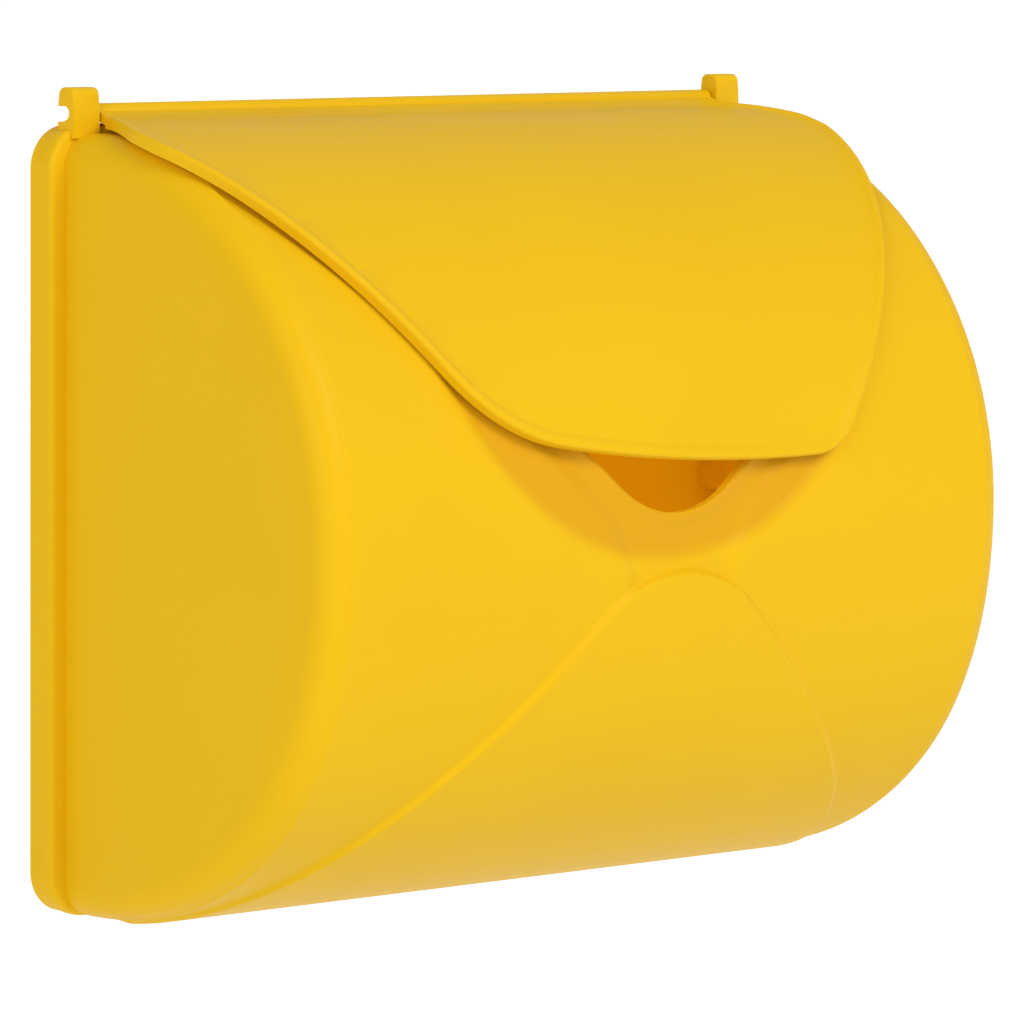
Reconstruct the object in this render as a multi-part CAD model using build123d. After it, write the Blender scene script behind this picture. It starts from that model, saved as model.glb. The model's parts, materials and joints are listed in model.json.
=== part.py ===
from build123d import *
import math
import os

# A half-round wall mailbox of moulded plastic: a shell with an envelope in relief on its front,
# a back plate screwed into the shell's rim, and a lid that hinges on two hooks at the top.
# Millimetres. +X is the width, -Y the front, +Z up. The back face lies in the plane Y = 0, and
# the origin is the middle of that face.

# Overall sizes
body_width = 250.0          # across the two flat ends
body_depth = 117.5          # wall to the foremost line of the plain wall
rim_height = 213.0          # height of the rim that meets the wall
wall = 2.5                  # shell thickness

# Section of the half-round wall
crown_height = -1.5         # height of the foremost line
crown_start = 12.0          # depth at which the top and bottom start to curve
top_fullness = 0.552        # 0.552 is an ellipse, and more is squarer
bottom_fullness = 0.613
end_radius = 8.0            # rounding between the flat ends and the curved wall

# Rim
rim_side = 4.8              # how far the rim stands out past each end
rim_top = 2.5               # and past the top
rim_bottom = 0.5            # and past the bottom
rim_depth = 9.5
rim_corner = 12.0
rim_front_fillet = 1.5
rim_lip = 3.0               # rim left round the back plate

# Back plate and its screws
plate_thickness = 4.0
plate_clearance = 0.2
screw_radius = 1.75
screw_length = 16.0
screw_head_radius = 3.5
screw_clearance = 0.3       # between the screw and the hole in the plate
screw_tip = 2.5
drive_radius = 1.3
drive_depth = 1.2
boss_radius = 4.5
boss_depth = 16.0           # length of a boss in front of the plate
boss_inset = 7.5            # screw line to the plate's edge
wall_hole_radius = 3.0
wall_hole_spacing_x = 80.0
wall_hole_spacing_z = 45.0
wall_hole_drop = 49.0       # rim's top edge to the middle of the four holes
wall_hole_pad = 7.0         # radius of the raised pad round a hole
wall_hole_pad_height = 1.5

# Envelope in relief
flap_margin = 7.4           # relief stops this far from the flat ends
flap_top_margin = 6.0       # and this far below the top
side_flap_rise = 0.5
bottom_flap_rise = 1.8
valley_fall = 1.5
bottom_flap_end = 22.0      # the bottom flap stops this far from the wall
apex_height = -12.0         # top of the bottom flap
apex_radius = 40.0
flap_angle = 43.0           # slope of the flap's sides above horizontal
valley_foot = 18.0          # half width of the valley where it meets the bottom flap
valley_neck_height = 3.0
valley_neck = 24.5          # half width of the valley at its neck

# Mail opening
slot_bottom = 3.5
slot_bottom_radius = 31.0
slot_side_angle = 42.0      # slope of its sides above horizontal
slot_top = 92.0
slot_top_margin = 30.0      # from the top corners to the flat ends
slot_corner = 6.0
slot_lip = 3.0
slot_lip_rise = 0.6

# Hinge
hinge_depth = 6.8           # axis, from the wall
hinge_rise = 2.9            # axis, above the rim
barrel_radius = 2.5
pin_radius = 1.6
pin_length = 5.2
hook_hole_radius = 1.85
hook_width = 9.0
hook_inset = 1.8            # from a flat end to the hook's outer face
hook_rise = 9.8             # above the rim
hook_front = 3.75           # axis to the hook's front face
hook_back = 2.8             # axis to the hook's tip
hook_rounding = 2.0
hook_lower_lip = 0.6        # floor of the hook above the rim
barrel_play = 0.6           # gap between the barrel's end and a hook

# Lid
lid_gap = 1.2               # lid's inside above the plain wall
lid_wall = 2.4
bead_rise = 0.9
bead_width = 3.0
lid_rear = 12.5             # rear edge of the sheet, from the wall
lid_neck_depth = 16.0       # the lid stays as narrow as its barrel up to here
lid_shoulder_depth = 36.0   # where it reaches its full width
lid_side_margin = 1.0       # from its widest point to the flat ends
lid_shoulder_height = 101.0
lid_foot = 58.0             # half width at the bottom corners, unrounded
lid_edge_right = 17.0       # height of the bottom edge at +X, middle and -X
lid_edge_middle = 18.0
lid_edge_left = 27.5
lid_left_radius = 58.0
lid_right_radius = 20.0
lid_shoulder_radius = 15.0

# Worked out from the above
rim_width = body_width + 2 * rim_side
body_top = rim_height / 2 - rim_top
body_bottom = -rim_height / 2 + rim_bottom
hinge_height = rim_height / 2 + hinge_rise
hook_outer = body_width / 2 - hook_inset
hook_inner = hook_outer - hook_width
barrel_half = hook_inner - barrel_play
lid_half = body_width / 2 - lid_side_margin
relief_half = body_width / 2 - flap_margin
plate_width = rim_width - 2 * rim_lip - 2 * plate_clearance
plate_height = rim_height - 2 * rim_lip - 2 * plate_clearance
plate_corner = rim_corner - rim_lip
far = 2 * (body_width + rim_height)


def section(rise, back=0.0):
    """The closed D of the wall's outer line moved out by rise, from the plane Y = -back."""
    reach = body_depth - crown_start + rise
    front = -crown_start - reach
    top = body_top + rise
    bottom = body_bottom - rise
    upper = top_fullness * (top - crown_height)
    lower = bottom_fullness * (crown_height - bottom)
    crown = (front, crown_height)
    with BuildSketch(Plane.YZ) as sketch:
        with BuildLine():
            Line((-back, top), (-crown_start, top))
            Bezier((-crown_start, top), (-crown_start - top_fullness * reach, top),
                   (front, crown_height + upper), crown)
            Bezier(crown, (front, crown_height - lower),
                   (-crown_start - bottom_fullness * reach, bottom), (-crown_start, bottom))
            Polyline((-crown_start, bottom), (-back, bottom), (-back, top))
        make_face()
    return sketch.sketch


def half_round(rise, half_width, back=0.0):
    """A solid D that reaches half_width to each side."""
    return extrude(section(rise, back), half_width, both=True)


def rounded_half_round(rise, half_width, radius):
    """A solid D whose curved edges at both ends are rounded."""
    solid = half_round(rise, half_width)
    ends = solid.edges().filter_by(lambda edge: abs(edge.center().X) > half_width - 0.01)
    curved = [edge for edge in ends if edge.bounding_box().size.Y > 0.01]
    return fillet(curved, radius)


def behind(depth):
    """All that lies nearer the wall than depth."""
    return Pos(0, far / 2 - depth, 0) * Box(far, far, far)


def front_prism(sketch, nearest=20.0):
    """A front view extruded along Y, from the depth nearest forwards."""
    return extrude(Plane((0, -nearest, 0), x_dir=(1, 0, 0), z_dir=(0, -1, 0)) * sketch, far)


def slot_outline(border=0.0):
    """Front view of the mail opening, grown by border."""
    angle = math.radians(slot_side_angle)
    radius = slot_bottom_radius + border
    centre = slot_bottom + slot_bottom_radius
    foot = (radius * math.sin(angle), centre - radius * math.cos(angle))
    top = slot_top + border
    reach = foot[0] + (top - 2 * slot_corner - foot[1]) / math.tan(angle)
    half = min(body_width / 2 - slot_top_margin + border, reach)
    knee = foot[1] + (half - foot[0]) * math.tan(angle)
    with BuildSketch() as sketch:
        with BuildLine():
            ThreePointArc((-foot[0], foot[1]), (0, centre - radius), foot)
            Polyline(foot, (half, knee), (half, top), (-half, top), (-half, knee), (-foot[0], foot[1]))
        make_face()
        fillet(sketch.vertices().group_by(Axis.Y)[-1], slot_corner)
    return sketch.sketch


def bottom_flap_outline(inset=0.0):
    """Front view of the bottom flap: a rounded apex and two straight sides, out past the bottom."""
    angle = math.radians(flap_angle)
    radius = apex_radius - inset
    centre = apex_height - apex_radius
    foot = (radius * math.sin(angle), centre + radius * math.cos(angle))
    half = relief_half - inset
    knee = foot[1] - (half - foot[0]) * math.tan(angle)
    low = min(knee, -rim_height / 2) - 2 * apex_radius
    with BuildSketch() as sketch:
        with BuildLine():
            ThreePointArc((-foot[0], foot[1]), (0, centre + radius), foot)
            Polyline(foot, (half, knee), (half, low), (-half, low), (-half, knee), (-foot[0], foot[1]))
        make_face()
    return sketch.sketch


def valley_outline():
    """Front view of the sunken floor round the mail opening, down to the bottom flap."""
    angle = math.radians(slot_side_angle)
    neck = (valley_neck, valley_neck_height)
    top = slot_top
    reach = neck[0] + (top - neck[1]) / math.tan(angle)
    foot = apex_height - apex_radius / 2
    corners = [(valley_foot, foot), (valley_foot, apex_height), neck, (reach, top)]
    mirrored = [(-x, z) for x, z in reversed(corners)]
    with BuildSketch() as sketch:
        with BuildLine():
            Polyline(*corners, *mirrored, close=True)
        make_face()
    return sketch.sketch


def side_flaps_outline():
    """Front view of the area that the two side flaps cover together."""
    top = body_top - flap_top_margin
    low = -rim_height / 2
    with BuildSketch() as sketch:
        with Locations((0, (top + low) / 2)):
            Rectangle(2 * relief_half, top - low)
    return sketch.sketch


def hook_side():
    """Side view of a hook, open towards the wall, in the plane X = 0."""
    base = body_top - wall
    top = rim_height / 2 + hook_rise
    front = -hinge_depth - hook_front
    back = -hinge_depth + hook_back
    floor = rim_height / 2 + hook_lower_lip
    roof = hinge_height + hook_hole_radius
    with BuildSketch(Plane.YZ) as sketch:
        with Locations(((front + back) / 2, (base + top) / 2)):
            Rectangle(back - front, top - base)
        fillet(sketch.vertices().sort_by(Axis.Z)[-2:], hook_rounding)
        with Locations((-hinge_depth, hinge_height)):
            Circle(hook_hole_radius, mode=Mode.SUBTRACT)
        with Locations((-hinge_depth + hook_back, (floor + roof) / 2)):
            Rectangle(2 * hook_back, roof - floor, mode=Mode.SUBTRACT)
    return sketch.sketch


def hooks():
    """The two hinge hooks, one near each end."""
    side = hook_side()
    middle = (hook_inner + hook_outer) / 2
    hook = extrude(side, hook_width / 2, both=True)
    return [Pos(sign * middle, 0, 0) * hook for sign in (-1, 1)]


def screw_places():
    """The six plate screws in the plane of the wall: the corners and the middle of each end."""
    x = plate_width / 2 - boss_inset
    z = plate_height / 2 - boss_inset
    return [(side * x, row * z) for row in (-1, 0, 1) for side in (-1, 1)]


def rounded_block(width, height, corner, nearest, depth):
    """A block with rounded corners that starts at the depth nearest and runs forwards."""
    plane = Plane((0, -nearest, 0), x_dir=(1, 0, 0), z_dir=(0, -1, 0))
    with BuildSketch() as sketch:
        RectangleRounded(width, height, corner)
    return extrude(plane * sketch.sketch, depth)


def bar(radius, x, z, nearest, depth):
    """A round bar along Y that starts at the depth nearest and runs forwards."""
    plane = Plane((0, -nearest, 0), x_dir=(1, 0, 0), z_dir=(0, -1, 0))
    return extrude(plane * Pos(x, z) * Circle(radius), depth)


def make_shell():
    """The half-round shell: rim, hooks, bosses, mail opening and envelope relief."""
    half = body_width / 2
    outer = rounded_half_round(0, half, end_radius)
    outer += half_round(side_flap_rise, relief_half) & front_prism(side_flaps_outline())
    floor = half_round(-valley_fall, half + wall)
    outer -= (half_round(side_flap_rise + wall, relief_half) - floor) & front_prism(valley_outline())
    flap = half_round(bottom_flap_rise, relief_half) & front_prism(bottom_flap_outline())
    outer += flap - behind(bottom_flap_end)
    lip = half_round(slot_lip_rise - valley_fall, relief_half) & front_prism(slot_outline(slot_lip))
    outer += lip

    rim = rounded_block(rim_width, rim_height, rim_corner, 0, rim_depth)
    rim_front = rim.faces().sort_by(Axis.Y)[0]
    outer += fillet(rim_front.edges(), rim_front_fillet)
    for hook in hooks():
        outer += hook

    inner = rounded_half_round(-wall, half - wall, end_radius - wall)
    thick = half_round(wall, half) - half_round(-valley_fall - wall, half + wall)
    with BuildSketch() as border:
        add(valley_outline())
        offset(amount=wall, kind=Kind.INTERSECTION)
    inner -= thick & front_prism(border.sketch)
    flap_back = half_round(bottom_flap_rise - wall, relief_half - wall)
    inner += (flap_back & front_prism(bottom_flap_outline(wall))) - behind(bottom_flap_end + wall)
    shell = outer - inner
    shell -= front_prism(slot_outline())

    hollow = half_round(-wall / 2, half - wall / 2)
    for x, z in screw_places():
        shell += bar(boss_radius, x, z, plate_thickness, boss_depth) & hollow
    seat_width = rim_width - 2 * rim_lip
    seat_height = rim_height - 2 * rim_lip
    shell -= rounded_block(seat_width, seat_height, plate_corner, 0, plate_thickness)
    for x, z in screw_places():
        shell -= bar(screw_radius, x, z, 0, screw_length)
        shell -= Pos(x, -screw_length, z) * Rot(90, 0, 0) * Pos(0, 0, screw_tip / 2) * Cone(
            screw_radius, 0.0, screw_tip)
    return shell


def countersink(radius, x, z):
    """A right-angled countersink in the plane of the wall, radius across at its mouth."""
    cone = Cone(radius, 0.0, radius)
    return Pos(x, 0, z) * Rot(90, 0, 0) * Pos(0, 0, radius / 2) * cone


def wall_hole_places():
    """The four holes for the screws that hold the mailbox on its wall."""
    x = wall_hole_spacing_x / 2
    z = wall_hole_spacing_z / 2
    middle = rim_height / 2 - wall_hole_drop
    return [(sx * x, middle + sz * z) for sz in (-1, 1) for sx in (-1, 1)]


def make_back_plate():
    """The flat plate that closes the back, with its screw holes and the four wall holes."""
    plate = rounded_block(plate_width, plate_height, plate_corner - plate_clearance, 0, plate_thickness)
    for x, z in wall_hole_places():
        plate += bar(wall_hole_pad, x, z, 0, plate_thickness + wall_hole_pad_height)
    for x, z in wall_hole_places():
        plate -= bar(wall_hole_radius, x, z, 0, plate_thickness + wall_hole_pad_height)
    for x, z in screw_places():
        plate -= bar(screw_radius + screw_clearance, x, z, 0, plate_thickness)
        plate -= countersink(screw_head_radius, x, z)
    return plate


def make_screw(x, z):
    """A countersunk self-tapping screw, its head flush with the wall face."""
    screw = bar(screw_radius, x, z, 0, screw_length)
    screw += countersink(screw_head_radius, x, z)
    tip = Cone(screw_radius, 0.0, screw_tip)
    screw += Pos(x, -screw_length, z) * Rot(90, 0, 0) * Pos(0, 0, screw_tip / 2) * tip
    drive = Plane((x, 0, z), x_dir=(1, 0, 0), z_dir=(0, -1, 0)) * RegularPolygon(drive_radius, 6)
    return screw - extrude(drive, drive_depth)


def lid_front_outline(inset=0.0):
    """Front view of the lid: slanting sides, two unlike bottom corners and a bowed bottom edge."""
    slope = (lid_half - lid_foot) / (lid_shoulder_height - lid_edge_right)
    top = rim_height
    right = (lid_foot, lid_edge_right)
    left = (-lid_foot - slope * (lid_edge_left - lid_edge_right), lid_edge_left)
    top_half = lid_foot + slope * (top - lid_edge_right)
    with BuildSketch() as sketch:
        with BuildLine():
            ThreePointArc(left, (0, lid_edge_middle), right)
            Polyline(right, (top_half, top), (-top_half, top), left)
        make_face()
        fillet(sketch.vertices().sort_by_distance((*right, 0))[0], lid_right_radius)
        fillet(sketch.vertices().sort_by_distance((*left, 0))[0], lid_left_radius)
        if inset:
            offset(amount=-inset, kind=Kind.INTERSECTION)
    return sketch.sketch


def lid_plan_outline(inset=0.0):
    """Plan of the lid in X and Y: narrow between the hooks, then out to its full width."""
    corners = [(barrel_half, far), (barrel_half, -lid_neck_depth), (lid_half, -lid_shoulder_depth),
               (lid_half, -far)]
    mirrored = [(-x, y) for x, y in reversed(corners)]
    with BuildSketch() as sketch:
        with BuildLine():
            Polyline(*corners, *mirrored, close=True)
        make_face()
        waist = [v for v in sketch.vertices() if abs(v.Y + lid_shoulder_depth) < 0.01]
        fillet(waist, lid_shoulder_radius)
        if inset:
            offset(amount=-inset, kind=Kind.INTERSECTION)
    return sketch.sketch


def lid_cutter(inset=0.0):
    """All that lies inside the lid's outline, seen from the front and from above."""
    plan = extrude(lid_plan_outline(inset), far, both=True)
    return front_prism(lid_front_outline(inset), 0) & plan


def lid_neck():
    """Side view of the web that joins the sheet's rear edge to the barrel."""
    sheet_middle = body_top + lid_gap + lid_wall / 2
    start = Vector(-hinge_depth, hinge_height)
    end = Vector(-lid_rear - lid_wall, sheet_middle)
    along = (end - start).normalized()
    across = Vector(-along.Y, along.X) * (lid_wall / 2)
    with BuildSketch(Plane.YZ) as sketch:
        with BuildLine():
            Polyline(start + across, end + across, end - across, start - across, close=True)
        make_face()
        with Locations((end.X, end.Y)):
            Circle(lid_wall / 2)
    return sketch.sketch


def make_lid():
    """The lid: a curved sheet with a bead round it, and a barrel with a stub pin at each end."""
    hollow = half_round(lid_gap, body_width) + behind(lid_rear + lid_wall)
    sheet = (half_round(lid_gap + lid_wall, body_width) - hollow) & lid_cutter()
    bead = (half_round(lid_gap + lid_wall + bead_rise, body_width) - hollow) & lid_cutter()
    bead -= lid_cutter(bead_width)
    axis = Plane((0, -hinge_depth, hinge_height), x_dir=(0, 1, 0), z_dir=(1, 0, 0))
    barrel = extrude(axis * Circle(barrel_radius), barrel_half, both=True)
    pins = extrude(axis * Circle(pin_radius), barrel_half + barrel_play + pin_length, both=True)
    neck = extrude(lid_neck(), barrel_half, both=True)
    return sheet + bead + neck + barrel + pins


os.makedirs("parts", exist_ok=True)
nodes = {"box_shell": make_shell(), "back_plate": make_back_plate(), "lid": make_lid()}
for number, (x, z) in enumerate(screw_places(), start=1):
    nodes[f"plate_screw_{number}"] = make_screw(x, z)
for name, shape in nodes.items():
    export_step(shape, f"parts/{name}.step")
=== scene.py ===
import json
import math
from functools import partial

import bmesh
import bpy
import numpy as np
from bpy.props import FloatProperty, FloatVectorProperty, PointerProperty
from bpy.types import Operator, Panel, PropertyGroup
from mathutils import Matrix, Vector

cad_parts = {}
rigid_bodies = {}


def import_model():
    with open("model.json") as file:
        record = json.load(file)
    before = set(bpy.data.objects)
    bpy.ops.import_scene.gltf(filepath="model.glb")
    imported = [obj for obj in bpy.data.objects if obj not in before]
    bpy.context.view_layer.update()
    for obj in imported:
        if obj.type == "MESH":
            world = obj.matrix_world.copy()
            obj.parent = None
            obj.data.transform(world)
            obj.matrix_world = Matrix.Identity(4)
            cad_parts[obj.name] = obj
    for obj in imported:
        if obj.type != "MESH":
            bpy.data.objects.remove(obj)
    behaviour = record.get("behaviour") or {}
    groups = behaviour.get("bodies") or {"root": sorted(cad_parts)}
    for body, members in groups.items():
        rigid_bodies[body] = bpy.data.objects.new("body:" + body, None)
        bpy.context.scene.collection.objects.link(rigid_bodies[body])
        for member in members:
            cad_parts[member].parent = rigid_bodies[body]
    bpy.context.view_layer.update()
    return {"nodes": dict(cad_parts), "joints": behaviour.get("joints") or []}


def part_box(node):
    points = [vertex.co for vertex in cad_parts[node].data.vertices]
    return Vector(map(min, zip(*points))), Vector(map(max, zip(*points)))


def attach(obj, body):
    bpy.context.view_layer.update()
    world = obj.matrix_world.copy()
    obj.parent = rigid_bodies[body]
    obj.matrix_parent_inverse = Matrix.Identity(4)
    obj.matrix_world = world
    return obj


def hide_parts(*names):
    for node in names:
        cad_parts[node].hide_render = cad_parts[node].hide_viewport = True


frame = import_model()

bl_info = {
    "name": "Half-Round Mailbox",
    "version": (1, 0, 0),
    "blender": (4, 5, 0),
    "location": "View3D > Sidebar > Mailbox",
    "description": "Builds a half-round wall mailbox of moulded plastic with a hinged lid",
    "category": "Object",
}

MM = 0.001
SHELL_LOW, SHELL_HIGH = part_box("box_shell")
PLATE_LOW, PLATE_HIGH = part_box("back_plate")
HINGE = Vector(frame["joints"][0]["pos_m"])
SCREWS = sorted(name for name in frame["nodes"] if name.startswith("plate_screw_"))

# Details that stay as they are, in metres and radians

HAIR = 0.01 * MM  # slack in a test of place
MERGE = 0.005 * MM  # points closer together than this become one
SHELL_MERGE = 0.02 * MM  # the same for the middle of the shell's ends
SHARP_ANGLE = math.radians(32)  # sharper edges stay sharp in the shading
FLAT_ANGLE = math.radians(1)  # faces that meet at less than this are one flat face
SOFTEN_ANGLE = math.radians(35)  # sharper edges of a CAD copy are softened

OUTER_GRID = 2.4 * MM  # mesh of the shell's outer face
OUTER_REFINE = (5 * MM, 2.6 * MM)  # reach of each refining along the relief's edges
INNER_GRID = 4.0 * MM  # mesh of its inner face
INNER_REFINE = (4 * MM,)
SLOT_REACH = 1.3  # share of that reach round the mail opening
VALLEY_REACH = 1.5  # round the sunken floor
END_REACH = 0.6  # along the flat ends
FINE_TURN = math.radians(25)  # refining stops this far into the rounding of an end
END_TURNS = 8  # columns in that rounding
END_SHARES = (0.08, 0.2, 0.36, 0.54, 0.76, 1.0)  # rings of faces from there to an end's middle
LIP_START = 0.35  # where the lip's slope starts, as a share of it
LIP_DROP = 0.6  # how round the lip's edge is, 1 for a quarter circle

CORNER_STEPS = 12  # faces in a round corner of the rim
SLOT_REAR = -20 * MM  # the mail opening is cut only in front of this
HOOK_EDGE = 0.7 * MM  # rounding of a hook's long edges
BOSS_EDGE = 0.5 * MM  # rounding of a boss's tip

SHOULDER_SPACING = 2 * MM  # points along the lid's shoulders
EDGE_SPACING = 1.5 * MM  # points along its side and lower edges
LID_STRIP = 1.5 * MM  # strips of the lid's sheet that bend
LID_COLUMN = 10 * MM  # columns across it
UNDERSIDE = 0.05 * MM  # the sheet's inner face is this near its lowest points
BEAD_SINK = 0.06 * MM  # the bead's run-out ends this far inside the sheet
BEAD_CREST = 0.3 * MM  # where the run-out starts
BEAD_FOOT = 0.2 * MM  # the first point up the bead's outer side
BEAD_BELOW = 0.02 * MM  # the bead's foot lies this far below the sheet
BARREL_EDGE = 0.4 * MM  # rounding of the barrel's ends
PIN_EDGE = 0.3 * MM  # rounding of the pins' ends
PLATE_EDGE = 0.3 * MM  # softening of the back plate
SCREW_EDGE = 0.12 * MM  # softening of a screw

FLOOR_SIZE = 400.0  # wide enough to reach the horizon
FLOOR_DROP = 0.9  # from the shell down to the floor
WORLD_STRENGTH = 0.53
SOFTBOX_SIDE = 1.0
SOFTBOXES = (  # name, place, watts and tint
    ("key", (0.251, -1.785, 1.262), 19.8, (1.0, 1.0, 1.0)),
    ("fill", (-1.874, -0.874, 0.752), 11.2, (1.0, 0.93, 0.9)),
)

FACE_OUTWARDS = partial(bpy.ops.mesh.normals_make_consistent, inside=False)


# Sizes and finishes that a user would change

def size(default_mm, name, description):
    """A length property, with its default given in millimetres."""
    return FloatProperty(name=name, description=description, default=default_mm * MM, unit="LENGTH",
                         precision=5)


def slope(default_degrees, name, description):
    """An angle property, with its default given in degrees."""
    return FloatProperty(name=name, description=description, default=math.radians(default_degrees),
                         subtype="ANGLE")


def share(default, name, description):
    """A property without a unit."""
    return FloatProperty(name=name, description=description, default=default, precision=3)


def colour(default, name, description):
    """A colour property, linear red, green and blue."""
    return FloatVectorProperty(name=name, description=description, default=default, subtype="COLOR",
                               size=3, min=0.0, max=1.0)


class MailboxBodySizes(PropertyGroup):
    """Sizes of the half-round shell and its rim."""
    width: size(250, "Width", "Across the two flat ends")
    depth: size(117.5, "Depth", "From the wall to the foremost line")
    wall: size(2.5, "Wall", "Thickness of the moulded shell")
    crown_height: size(-1.5, "Crown height", "Height of the foremost line")
    crown_start: size(12, "Crown start", "Depth at which the top and bottom start to curve")
    top_fullness: share(0.552, "Top fullness", "0.552 is an ellipse, and more is squarer")
    bottom_fullness: share(0.613, "Bottom fullness", "0.552 is an ellipse, and more is squarer")
    end_radius: size(8, "End radius", "Rounding between the flat ends and the curved wall")
    rim_side: size(4.8, "Rim side", "How far the rim stands out past each end")
    rim_top: size(2.5, "Rim top", "How far the rim stands out past the top")
    rim_bottom: size(0.5, "Rim bottom", "How far the rim stands out past the bottom")
    rim_depth: size(9.5, "Rim depth", "From the wall to the rim's front")
    rim_corner: size(12, "Rim corner", "Radius of the rim's four corners")
    rim_front_radius: size(1.5, "Rim front radius", "Rounding along the rim's front edge")
    rim_parting_depth: size(5.2, "Rim parting depth", "From the wall to the parting step")
    rim_parting_step: size(0.4, "Rim parting step", "Height of that step")
    plate_thickness: size(4, "Plate thickness", "Thickness of the back plate")
    plate_clearance: size(0.2, "Plate clearance", "Gap all round the back plate")
    rim_lip: size(3, "Rim lip", "Rim left round the back plate")
    boss_radius: size(4.5, "Boss radius", "Radius of a screw boss")
    pilot_radius: size(1.75, "Pilot radius", "Radius of the hole in a boss")
    boss_depth: size(16, "Boss depth", "Length of a screw boss in front of the plate")


class MailboxReliefSizes(PropertyGroup):
    """Sizes of the envelope in relief and of the mail opening."""
    flap_margin: size(7.4, "Flap margin", "The relief stops this far from the flat ends")
    flap_top_margin: size(6, "Flap top margin", "The relief stops this far below the top")
    side_flap_rise: size(0.5, "Side flap rise", "Height of the two side flaps above the plain wall")
    side_flap_edge: size(0.9, "Side flap edge", "Width of the step along the flat ends")
    bottom_flap_rise: size(1.8, "Bottom flap rise", "Height of the bottom flap above the wall")
    bottom_flap_edge: size(1.8, "Bottom flap edge", "Width of the step round the bottom flap")
    bottom_flap_end: size(22, "Bottom flap end", "The bottom flap stops this far from the wall")
    valley_fall: size(0.6, "Valley fall", "Depth of the floor round the mail opening")
    valley_edge: size(6, "Valley edge", "Width of the soft step round the sunken floor")
    apex_height: size(-12, "Apex height", "Top of the bottom flap")
    apex_radius: size(40, "Apex radius", "Rounding at the top of the bottom flap")
    flap_slope: slope(43, "Flap slope", "Slope of the bottom flap's sides above horizontal")
    valley_foot: size(18, "Valley foot", "Half width of the sunken floor at the bottom flap")
    valley_neck: size(24.5, "Valley neck", "Half width of the sunken floor at its neck")
    valley_neck_height: size(3, "Valley neck height", "Height of that neck")
    dish_fall: size(1.1, "Dish fall", "Extra depth of the wide shallow dish round the mail opening")
    dish_edge: size(5, "Dish edge", "Width of its soft edge")
    dish_bottom: size(-8.5, "Dish bottom", "Lowest point of the dish")
    dish_radius: size(80, "Dish radius", "Rounding of the dish's lower edge")
    dish_shift: size(-3, "Dish shift", "Its place across the front")
    slot_bottom: size(3.5, "Slot bottom", "Lowest point of the mail opening")
    slot_radius: size(31, "Slot radius", "Rounding at the bottom of the mail opening")
    slot_slope: slope(42, "Slot slope", "Slope of the mail opening's sides above horizontal")
    slot_top: size(92, "Slot top", "Top of the mail opening, under the lid")
    slot_top_margin: size(30, "Slot top margin", "From its top corners to the flat ends")
    slot_corner: size(6, "Slot corner", "Rounding of its top corners")
    slot_lip: size(3, "Slot lip", "Width of the raised lip round it")
    slot_lip_rise: size(0.6, "Slot lip rise", "Height of that lip above the sunken floor")
    slot_edge: size(1.1, "Slot edge", "Rounding of the lip towards the opening")


class MailboxLidSizes(PropertyGroup):
    """Sizes of the lid, its bead and its hinge."""
    gap: size(1.2, "Gap", "Between the lid and the plain wall")
    wall: size(2.4, "Wall", "Thickness of the lid's sheet")
    bead_rise: size(0.9, "Bead rise", "Height of the bead above the sheet")
    bead_width: size(3, "Bead width", "Width of the bead along the edge")
    bead_run_out: size(2.8, "Bead run-out", "From the bead's middle to where it meets the sheet")
    bead_radius: size(1.15, "Bead radius", "Rounding of the bead")
    rear: size(12.5, "Rear", "Rear edge of the sheet, from the wall")
    shoulder_depth: size(36, "Shoulder depth", "Depth at which it reaches its full width")
    shoulder_radius: size(15, "Shoulder radius", "Rounding where it does")
    shoulder_height: size(101, "Shoulder height", "Height at which its sides start to slant in")
    side_margin: size(1, "Side margin", "From its widest point to the flat ends")
    foot: size(58, "Foot", "Half width at its bottom corners, before they are rounded")
    edge_right: size(17, "Edge right", "Height of the bottom edge at the right corner")
    edge_middle: size(18, "Edge middle", "Height of the bottom edge in the middle")
    edge_left: size(27.5, "Edge left", "Height of the bottom edge at the left corner")
    right_radius: size(20, "Right radius", "Rounding of the right bottom corner")
    left_radius: size(58, "Left radius", "Rounding of the left bottom corner")
    glow: share(0.15, "Glow", "Share of the shell's glow on the lid's inner face")
    barrel_radius: size(2.5, "Barrel radius", "Radius of the hinge barrel")
    barrel_play: size(0.6, "Barrel play", "Gap between the barrel's end and a hook")
    pin_radius: size(1.6, "Pin radius", "Radius of the stub pins")
    pin_length: size(5.2, "Pin length", "How far a pin reaches into its hook")
    hook_width: size(9, "Hook width", "Width of a hook")
    hook_inset: size(1.8, "Hook inset", "From a flat end to the hook's outer face")
    hook_hole_radius: size(1.85, "Hook hole radius", "Radius of the hole that takes a pin")
    hook_front: size(3.75, "Hook front", "From the hinge's axis to the hook's front face")
    hook_back: size(2.8, "Hook back", "From the hinge's axis to the hook's tip")
    hook_rounding: size(2, "Hook rounding", "Rounding over the top of a hook")
    hook_lower_lip: size(0.6, "Hook lower lip", "Floor of the hook above the rim")


class MailboxFinish(PropertyGroup):
    """Colours and surface values of the plastic and the steel."""
    plastic: colour((0.80, 0.48, 0.004), "Plastic", "Colour of the moulded plastic")
    plastic_deep: colour((0.78, 0.46, 0.004), "Deep plastic", "Its colour where pigment is denser")
    # Painted shade: a darker colour laid over the dish below the lid, standing in for the shade
    # that falls there
    dish_painted_shade: colour((0.70, 0.355, 0.006), "Dish painted shade", "Painted shade over the dish below the lid")
    glow: colour((0.37, 0.33, 0.06), "Glow", "Light that comes through the wall to its inner face")
    speck: colour((0.28, 0.11, 0.01), "Speck", "Colour of the few specks in the plastic")
    zinc: colour((0.62, 0.62, 0.60), "Zinc", "Colour of the plated screws")
    floor: colour((0.93, 0.93, 0.93), "Floor", "Colour of the pale floor")
    grain_size: size(0.5, "Grain size", "Size of the grain that the mould leaves")


# Small tools for the modelling

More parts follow.
